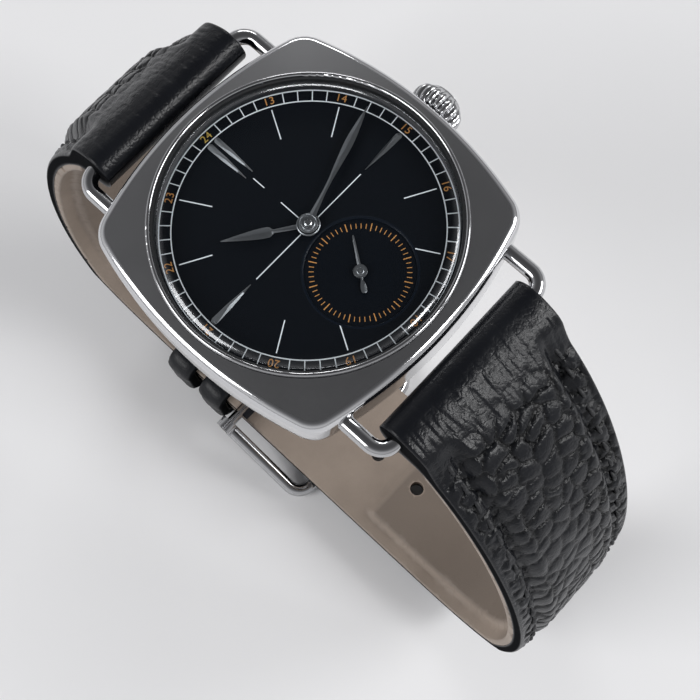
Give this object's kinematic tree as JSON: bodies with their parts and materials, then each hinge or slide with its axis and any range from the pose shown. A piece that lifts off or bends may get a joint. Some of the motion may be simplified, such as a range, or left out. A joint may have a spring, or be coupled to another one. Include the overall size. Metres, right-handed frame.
{
  "type": "wristwatch",
  "caption": "Automatic wristwatch with a cushion case, wire lugs, small seconds and a padded leather strap closed by a pin buckle; geared movement inside.",
  "frame": {"origin": "centre of the case back's flat face, on the dial's axis; the closed strap hangs below it", "axes": "+X to 3 o'clock and the crown, +Y to 12 o'clock, +Z out of the dial"},
  "size_m": [0.0391, 0.0821, 0.0586],
  "materials": {
    "case_steel": "satin top, polished flanks",
    "polished_steel": "polished",
    "crystal": "polished, domed",
    "seal": "matt",
    "clear_seal": "smooth",
    "dial_black": "fine matt lacquer",
    "hand_steel": "brushed",
    "plate_nickel": "striped nickel",
    "wheel_brass": "gilt",
    "pinion_steel": "hardened, polished",
    "blued_steel": "heat blued",
    "rotor_steel": "brushed",
    "leather_black": "grained, padded",
    "leather_lining": "smooth"
  },
  "bodies": {
    "watch": {"case_middle": "case_steel", "bezel_ring": "polished_steel", "crystal": "crystal", "crystal_seal": "clear_seal", "inner_flange": "dial_black", "case_back": "case_steel", "back_seal": "seal", "dial": "dial_black", "seconds_dial": "dial_black", "hour_markers": "hand_steel", "movement_ring": "plate_nickel", "main_plate": "plate_nickel", "barrel_bridge": "plate_nickel", "train_bridge": "plate_nickel", "balance_cock": "plate_nickel", "bridge_screws": "blued_steel", "ratchet_click": "pinion_steel", "rotor_post": "pinion_steel", "crown_tube": "polished_steel", "wire_lug_12": "polished_steel", "wire_lug_6": "polished_steel", "strap_12_leather": "leather_black", "strap_12_lining": "leather_lining", "strap_6_leather": "leather_black", "strap_6_lining": "leather_lining", "fixed_keeper": "leather_black", "buckle_bar": "polished_steel"},
    "minute_works": {"minute_hand": "hand_steel", "cannon_pinion": "pinion_steel"},
    "hour_works": {"hour_hand": "hand_steel", "hour_wheel": "wheel_brass"},
    "minute_wheel": {"minute_wheel": "wheel_brass"},
    "seconds_works": {"seconds_hand": "hand_steel", "fourth_wheel": "wheel_brass"},
    "third_wheel": {"third_wheel": "wheel_brass"},
    "centre_wheel": {"centre_wheel": "wheel_brass"},
    "escape_wheel": {"escape_wheel": "pinion_steel"},
    "barrel": {"mainspring_barrel": "wheel_brass", "mainspring": "blued_steel"},
    "pallet_fork": {"pallet_fork": "pinion_steel"},
    "balance": {"balance_wheel": "wheel_brass", "hairspring": "blued_steel"},
    "ratchet_wheel": {"ratchet_wheel": "pinion_steel"},
    "crown_wheel": {"crown_wheel": "pinion_steel"},
    "winding_pinion": {"winding_pinion": "pinion_steel"},
    "crown_slider": {"crown_seal": "seal"},
    "crown": {"crown": "polished_steel", "winding_stem": "pinion_steel"},
    "rotor": {"rotor": "rotor_steel"},
    "buckle_frame": {"buckle_frame": "polished_steel"},
    "buckle_tang": {"buckle_tang": "polished_steel"},
    "free_keeper": {"free_keeper": "leather_black"}
  },
  "joints": [
    {"name": "minute_turn", "type": "hinge", "parent": "watch", "child": "minute_works", "pos_m": [0, 0, 0.0079], "axis": [0, 0, 1], "continuous": true},
    {"name": "hour_turn", "type": "hinge", "parent": "watch", "child": "hour_works", "pos_m": [0, 0, 0.0078], "axis": [0, 0, 1], "continuous": true},
    {"name": "minute_wheel_turn", "type": "hinge", "parent": "watch", "child": "minute_wheel", "pos_m": [0.00221, -0.00185, 0.0064], "axis": [0, 0, 1], "continuous": true},
    {"name": "seconds_turn", "type": "hinge", "parent": "watch", "child": "seconds_works", "pos_m": [0, -0.00705, 0.0041], "axis": [0, 0, 1], "continuous": true},
    {"name": "third_wheel_turn", "type": "hinge", "parent": "watch", "child": "third_wheel", "pos_m": [0.0019, -0.00399, 0.0041], "axis": [0, 0, 1], "continuous": true},
    {"name": "centre_wheel_turn", "type": "hinge", "parent": "watch", "child": "centre_wheel", "pos_m": [0, 0, 0.0041], "axis": [0, 0, 1], "continuous": true},
    {"name": "escape_wheel_turn", "type": "hinge", "parent": "watch", "child": "escape_wheel", "pos_m": [-0.00331, -0.00825, 0.0041], "axis": [0, 0, 1], "continuous": true},
    {"name": "barrel_turn", "type": "hinge", "parent": "watch", "child": "barrel", "pos_m": [0.00161, 0.00603, 0.0034], "axis": [0, 0, 1], "continuous": true},
    {"name": "pallet_swing", "type": "hinge", "parent": "watch", "child": "pallet_fork", "pos_m": [-0.00456, -0.00609, 0.0041], "axis": [0, 0, 1], "range_deg": [-5, 5]},
    {"name": "balance_swing", "type": "hinge", "parent": "watch", "child": "balance", "pos_m": [-0.0072, -0.0015, 0.0034], "axis": [0, 0, 1], "range_deg": [-270, 270], "stiffness_Nm_per_rad": 0.0000005},
    {"name": "crown_wheel_turn", "type": "hinge", "parent": "watch", "child": "crown_wheel", "pos_m": [0.00747, 0, 0.0021], "axis": [0, 0, 1], "continuous": true},
    {"name": "ratchet_turn", "type": "hinge", "parent": "watch", "child": "ratchet_wheel", "pos_m": [0.00161, 0.00603, 0.0021], "axis": [0, 0, 1], "continuous": true},
    {"name": "winding_pinion_turn", "type": "hinge", "parent": "watch", "child": "winding_pinion", "pos_m": [0.00967, 0, 0.0048], "axis": [1, 0, 0], "continuous": true},
    {"name": "crown_pull", "type": "slide", "parent": "watch", "child": "crown_slider", "axis": [1, 0, 0], "range_m": [0, 0.001]},
    {"name": "crown_turn", "type": "hinge", "parent": "crown_slider", "child": "crown", "pos_m": [0.01815, 0, 0.0048], "axis": [1, 0, 0], "continuous": true},
    {"name": "rotor_turn", "type": "hinge", "parent": "watch", "child": "rotor", "pos_m": [0, 0, 0.0014], "axis": [0, 0, 1], "continuous": true},
    {"name": "buckle_open", "type": "hinge", "parent": "watch", "child": "buckle_frame", "pos_m": [-0.0056, 0.0036, -0.0421], "axis": [1, 0, 0], "range_deg": [0, 5]},
    {"name": "tang_lift", "type": "hinge", "parent": "buckle_frame", "child": "buckle_tang", "pos_m": [-0.0056, 0.0036, -0.0421], "axis": [1, 0, 0], "range_deg": [0, 5]},
    {"name": "keeper_slide", "type": "slide", "parent": "watch", "child": "free_keeper", "axis": [0, 1, 0], "range_m": [-0.0013, 0.0013]}
  ],
  "couplings": [
    {"joint": "hour_turn", "follows": "minute_turn", "ratio": 0.083333},
    {"joint": "minute_wheel_turn", "follows": "minute_turn", "ratio": -0.33333},
    {"joint": "third_wheel_turn", "follows": "seconds_turn", "ratio": -0.125},
    {"joint": "centre_wheel_turn", "follows": "seconds_turn", "ratio": 0.016667},
    {"joint": "escape_wheel_turn", "follows": "seconds_turn", "ratio": -10},
    {"joint": "barrel_turn", "follows": "seconds_turn", "ratio": -0.002381},
    {"joint": "winding_pinion_turn", "follows": "crown_turn", "ratio": 1},
    {"joint": "crown_wheel_turn", "follows": "crown_turn", "ratio": 0.6},
    {"joint": "ratchet_turn", "follows": "crown_turn", "ratio": -0.525}
  ]
}
